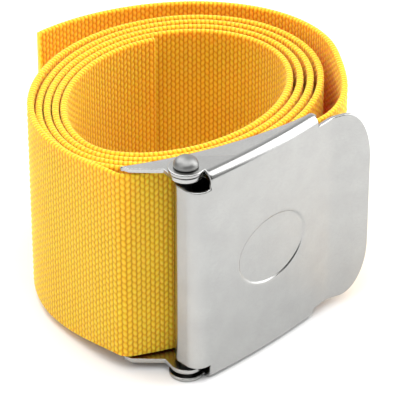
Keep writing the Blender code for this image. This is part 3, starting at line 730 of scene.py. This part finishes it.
strap = {
    "width": 50.0,
    "thickness": 1.4,
    "loft": 0.20,  # how much further each face stands out where nothing presses on the strap
    "gap": 0.3,  # to the plate under it
    "rollRadius": 27.2,
    "pitch": 2.24,
    "drift": 0.36,  # sideways shift of the outline with each turn
    "oval": 3.6,  # second and third harmonic of the outline
    "ovalAngle": 12.0,
    "egg": 0.5,
    "eggAngle": -38.0,
    "startAngle": 69.0,  # angles are in degrees round the roll's middle
    "turns": 4,
    "rollMiddle": (28.9, 35.88),
    "leadAngle": 174.0,
    "leadHandle": 8.0,
    "foldRadius": 3.5,
    "foldTurn": 57.0,
    "foldGap": 0.6,
    "tailStart": -34.0,
    "tailEnd": 92.5,
    "tailStandoff": 1.8,
    "tailLoose": -10.0,  # from here the tail springs away from the roll
    "tailSpread": 5.5,  # and is this much further out a quarter turn on
    "tailHandle": 13.0,
    "curvePoints": 60,
    "pressed": 0.2,  # how loosely it lies in the buckle, where the roll is 1
    "lift": 3.6,  # height of the strap in the buckle
    "liftStart": 60.0,
    "leadLift": 0.5,  # share of the lift where the strap leaves the roll
    "joinLift": 0.75,  # and where the tail takes up the outline again
    "liftEnd": 75.0,
    "pick": 1.1,  # rib spacing along the strap
    "pairs": 30,  # pairs of warp yarns across the width
    "relief": 0.26,
    "selvedge": 0.8,  # width of the rounded edge
    "selvedgeArc": (30, 60, 90, 120, 150),
    "loopDip": 0.14,  # between the weft's loops at the edge, as a share of that width
    "loopLean": 0.5,
    "sealed": 2.0,  # melted length at each cut end
    "sealedLoss": 0.7,  # share of the relief lost there, of the loops, and what is left in their place
    "sealedLoopLoss": 0.5,
    "sealedHeight": 0.4,
    "smoothing": 3,  # points to each side that even out the strap's direction
}


def rollOutline(angle, tail=False):
    a = math.radians(angle)
    oval = 2 * (a - math.radians(strap["ovalAngle"]))
    egg = 3 * (a - math.radians(strap["eggAngle"]))
    turns = (angle - strap["startAngle"]) / 360
    drift = strap["drift"] * turns
    reach = strap["rollRadius"] + strap["pitch"] * turns + drift * math.cos(a)
    reach += strap["oval"] * math.cos(oval) + strap["egg"] * math.cos(egg)
    slope = (strap["pitch"] + strap["drift"] * math.cos(a)) / (2 * math.pi) - drift * math.sin(a)
    slope -= 2 * strap["oval"] * math.sin(oval) + 3 * strap["egg"] * math.sin(egg)
    if tail:
        quarters = max((angle - 360 * (strap["turns"] + 1) - strap["tailLoose"]) / 90, 0.0)
        reach += strap["tailStandoff"] + strap["tailSpread"] * quarters ** 2
        slope += 2 * strap["tailSpread"] * quarters / (math.pi / 2)
    out = np.array([math.cos(a), math.sin(a)])
    along = np.array([-math.sin(a), math.cos(a)])
    return np.array(strap["rollMiddle"]) + reach * out + slope * along, along


def curveBetween(start, startAlong, end, endAlong, handle):
    first = start + handle * startAlong
    second = end - handle * endAlong
    points = []
    for t in np.linspace(0, 1, strap["curvePoints"]):
        s = 1 - t
        points.append(s ** 3 * start + 3 * s * s * t * first + 3 * s * t * t * second + t ** 3 * end)
    return points


# centreline from the inner end to the tail: x, y, height of the lower edge and how loosely it lies
def strapLine():
    bow = plate["bow"] + plate["sheet"] + strap["gap"] + strap["thickness"] / 2
    full = 360 * strap["turns"]
    leave = full + strap["leadAngle"]
    join = full + 360 + strap["tailStart"]
    lifted = full + strap["liftStart"]
    settled = full + 360 + strap["liftEnd"]
    pressed = strap["pressed"]
    angles = np.arange(strap["startAngle"], leave, 1.0)
    plan = [rollOutline(angle)[0] for angle in angles]
    raised = [strap["leadLift"] * smoothStep((angle - lifted) / (leave - lifted)) for angle in angles]
    loose = [1.0] * len(angles)

    start = onBow(bow, -plate["plateLeft"] - strap["foldGap"])
    inward = onBow(bow, -plate["plateLeft"]) - start
    heading = math.atan2(inward[1], inward[0])
    middle = start + strap["foldRadius"] * np.array([-math.sin(heading), math.cos(heading)])
    fold = []
    for turn in np.radians(np.arange(strap["foldTurn"], -0.5, -1.0)):
        out = np.array([math.sin(heading - turn), -math.cos(heading - turn)])
        fold.append(middle + strap["foldRadius"] * out)
    first = heading - math.radians(strap["foldTurn"])
    spot, along = rollOutline(leave)
    onto = np.array([math.cos(first), math.sin(first)])
    lead = curveBetween(spot, along, fold[0], onto, strap["leadHandle"])
    plan += lead + fold[1:]
    raised += [1 - (1 - strap["leadLift"]) * (1 - smoothStep(k / (len(lead) - 1))) for k in range(len(lead))]
    loose += [1 - (1 - pressed) * smoothStep(k / (len(lead) - 1)) for k in range(len(lead))]

    passing = np.arange(-plate["plateLeft"], plate["right"], 1.0)
    plan += [onBow(bow, distance) for distance in passing]
    raised += [1.0] * (len(fold) - 1 + len(passing))
    loose += [pressed] * (len(fold) - 1 + len(passing))
    right = onBow(bow, plate["right"])
    onward = right - onBow(bow, plate["right"] - 1)
    spot, along = rollOutline(join, True)
    away = curveBetween(right, onward / np.linalg.norm(onward), spot, along, strap["tailHandle"])
    tail = np.arange(join + 1, full + 360 + strap["tailEnd"], 1.0)
    plan += away + [rollOutline(angle, True)[0] for angle in tail]
    raised += [1 - (1 - strap["joinLift"]) * smoothStep(k / (len(away) - 1)) for k in range(len(away))]
    raised += [strap["joinLift"] * (1 - smoothStep((angle - join) / (settled - join))) for angle in tail]
    loose += [pressed + (1 - pressed) * smoothStep(k / (len(away) - 1)) for k in range(len(away))]
    loose += [1.0] * len(tail)
    return np.column_stack([np.array(plan), strap["lift"] * np.array(raised), loose])


# the strip's points, two for each rib and yarn, so that every rib, yarn and selvedge loop is in the mesh
def webbingMesh():
    line = strapLine()
    run = np.concatenate([[0], np.cumsum(np.linalg.norm(np.diff(line[:, :2], axis=0), axis=1))])
    length = run[-1]
    count = 2 * round(length / strap["pick"])
    at = np.linspace(0, length, count + 1)
    x, y, low, loose = (np.interp(at, run, line[:, k]) for k in range(4))
    heading = np.unwrap(np.arctan2(np.gradient(y), np.gradient(x)))
    smoothing = strap["smoothing"]
    window = np.ones(2 * smoothing + 1) / (2 * smoothing + 1)
    soft = np.convolve(np.pad(heading, smoothing, mode="edge"), window, mode="valid")
    aside = np.column_stack([np.sin(soft), -np.cos(soft)])

    ribs = np.arange(count + 1) / 2  # picks along
    yarns = np.arange(1, 2 * strap["pairs"]) / 2  # pairs of yarns across
    half = strap["thickness"] / 2 + strap["loft"] * loose[:, None]
    sealed = np.clip(1 - np.minimum(at, length - at) / strap["sealed"], 0, 1)[:, None]
    rib = np.cos(math.pi * ribs)[:, None]
    share = webbingLook["ribShare"]

    def faceOffset(side):
        relief = share * abs(rib) + (1 - share) * side * rib * np.cos(2 * math.pi * yarns)[None]
        relief = relief * (1 - strap["sealedLoss"] * sealed) + strap["sealedHeight"] * sealed
        return side * (half - strap["relief"] * (1 - relief))

    heights = yarns * strap["width"] / strap["pairs"]
    arc = np.radians(strap["selvedgeArc"])
    dip = strap["loopDip"]
    loop = 1 - dip + dip * abs(np.cos(math.pi * ribs[:, None] + strap["loopLean"] * np.cos(arc)[None]))
    loop = loop * (1 - strap["sealedLoopLoss"] * sealed) + strap["sealedHeight"] * sealed
    bulge = strap["selvedge"] * np.sin(arc)[None] * loop
    edgeOffset = half * np.cos(arc)[None]
    topEdge = strap["width"] - strap["selvedge"] + bulge
    offsets = np.hstack([faceOffset(1), edgeOffset, faceOffset(-1)[:, ::-1], -edgeOffset])
    rows = len(at)
    upright = np.hstack([
        np.tile(heights, (rows, 1)), topEdge, np.tile(heights[::-1], (rows, 1)), strap["width"] - topEdge])
    sides = np.concatenate([np.ones(len(yarns)), np.cos(arc), -np.ones(len(yarns)), -np.cos(arc)])
    points = np.stack([
        x[:, None] + offsets * aside[:, :1],
        y[:, None] + offsets * aside[:, 1:],
        low[:, None] + upright,
    ], axis=-1)
    ring = points.shape[1]
    k = np.arange(rows - 1)[:, None] * ring
    j = np.arange(ring)[None]
    after = (j + 1) % ring
    faces = np.stack([k + j, k + ring + j, k + ring + after, k + after], axis=-1).reshape(-1, 4).tolist()
    faces += [list(range(ring)), list(range(rows * ring - 1, (rows - 1) * ring - 1, -1))]
    mesh = newMesh("webbing", points.reshape(-1, 3), faces)
    weave = mesh.attributes.new("weave", "FLOAT_VECTOR", "POINT")
    values = np.stack([
        np.repeat(ribs[:, None], ring, 1),
        upright / (strap["width"] / strap["pairs"]),
        np.tile(sides, (rows, 1)),
    ], axis=-1)
    weave.data.foreach_set("vector", values.astype(np.float32).ravel())
    return mesh, length


webbingData, strapLength = webbingMesh()
webbingPiece = addPiece("webbingStrap", webbingData, webbingCloth, "belt", "strap")
print("webbing made,", round(strapLength), "mm long,", len(webbingData.vertices), "points")


# studio: white paper floor, pale wall behind, dim room at the camera's side,
# and soft boxes left, right, above and behind, all in metres

studio = {
    "floor": "#F4F4F4",
    "wall": 1.22,
    "ceiling": 0.27,
    "room": 0.12,
    "wallEdge": (-0.45, -0.85),  # where the wall begins and is full, as cosines from the camera's side
    "roomEdge": (0.0, 0.4),  # the same for the room
    "floorSize": 6.0,
    "floorRoughness": 0.9,
    "floorSpecular": 0.1,
}
lamps = {
    "leftBox": {"at": (-0.78, 0.05, 0.50), "wide": 0.70, "tall": 0.70, "watts": 2.3},
    "rightBox": {"at": (0.70, -0.42, 0.47), "wide": 0.66, "tall": 1.05, "watts": 8.6},
    "topBox": {"at": (-0.12, -0.26, 0.86), "wide": 0.90, "tall": 0.90, "watts": 6.4},
    "backBox": {"at": (-0.10, 0.55, 0.75), "wide": 0.80, "tall": 0.80, "watts": 5.6},
}


def addFloor():
    half = studio["floorSize"] / 2
    mesh = bpy.data.meshes.new("floor")
    corners = [(-half, -half, 0), (half, -half, 0), (half, half, 0), (-half, half, 0)]
    mesh.from_pydata(corners, [], [(0, 1, 2, 3)])
    material, _, shader = newMaterial("matt white paper")
    shader.inputs["Base Color"].default_value = toLinear(studio["floor"])
    shader.inputs["Roughness"].default_value = studio["floorRoughness"]
    shader.inputs["Specular IOR Level"].default_value = studio["floorSpecular"]
    mesh.materials.append(material)
    floor = bpy.data.objects.new("floor", mesh)
    scene.collection.objects.link(floor)


def addSurround():
    world = bpy.data.worlds.new("studio")
    scene.world = world
    world.use_nodes = True
    tree = world.node_tree
    tree.nodes.clear()
    way = addNode(tree, "TexCoord").outputs["Generated"]
    level = Vector(towardsCamera()[:2]).normalized()
    front = addNode(tree, "VectorMath", {0: way, 1: (level[0], level[1], 0.0)}, operation="DOT_PRODUCT")
    front = front.outputs["Value"]
    begins, full = studio["wallEdge"]
    back = addNode(tree, "MapRange", {
        "Value": front, "From Min": begins, "From Max": full,
        "To Min": studio["ceiling"], "To Max": studio["wall"]})
    begins, full = studio["roomEdge"]
    dim = addNode(tree, "MapRange", {
        "Value": front, "From Min": begins, "From Max": full,
        "To Min": 0.0, "To Max": studio["ceiling"] - studio["room"]})
    strength = addNode(tree, "Math", {0: back.outputs[0], 1: dim.outputs[0]}, operation="SUBTRACT").outputs[0]
    background = addNode(tree, "Background", {"Color": (1, 1, 1, 1), "Strength": strength})
    addNode(tree, "OutputWorld", {"Surface": background.outputs[0]})


def addLamps():
    for name, lamp in lamps.items():
        data = bpy.data.lights.new(name, "AREA")
        data.shape = "RECTANGLE"
        data.size = lamp["wide"]
        data.size_y = lamp["tall"]
        data.energy = lamp["watts"]
        light = bpy.data.objects.new(name, data)
        light.location = lamp["at"]
        light.rotation_mode = "QUATERNION"
        light.rotation_quaternion = (-Vector(lamp["at"])).to_track_quat("-Z", "Y")
        scene.collection.objects.link(light)


addFloor()
addSurround()
addLamps()
print("studio lit")
